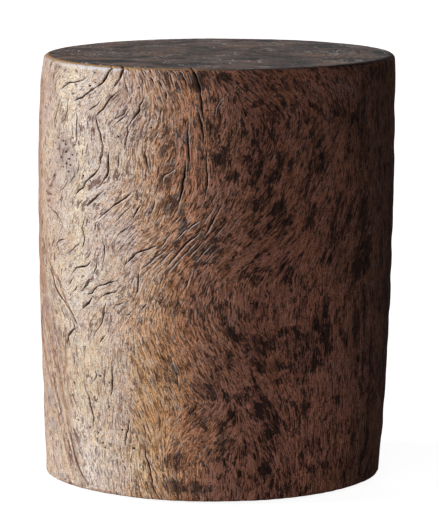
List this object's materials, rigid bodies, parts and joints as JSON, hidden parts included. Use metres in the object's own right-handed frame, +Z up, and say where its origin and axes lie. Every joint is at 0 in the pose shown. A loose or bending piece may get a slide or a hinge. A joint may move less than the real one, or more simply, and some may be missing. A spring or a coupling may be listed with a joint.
{
  "type": "pedestal stool",
  "caption": "Low round stool or side table: one upright block of hewn, cracked teak root, flat on top, standing on nail-on nylon glides.",
  "frame": {"origin": "on the floor, at the centre of the stool's outline", "axes": "+Z up through the block, -Y the front, which the long drying check runs down, +X to the right seen from the front"},
  "size_m": [0.3844, 0.3799, 0.457],
  "materials": {
    "teak": "hand-hewn teak root, waxed, swirling burl grain with dark patches and open drying checks",
    "nylon": "moulded dark brown nylon",
    "nail_steel": "plain drawn steel"
  },
  "bodies": {
    "root": {"trunk": "teak", "glide_front_left": "nylon", "glide_front_right": "nylon", "glide_back_left": "nylon", "glide_back_right": "nylon", "glide_nails": "nail_steel"}
  },
  "joints": []
}
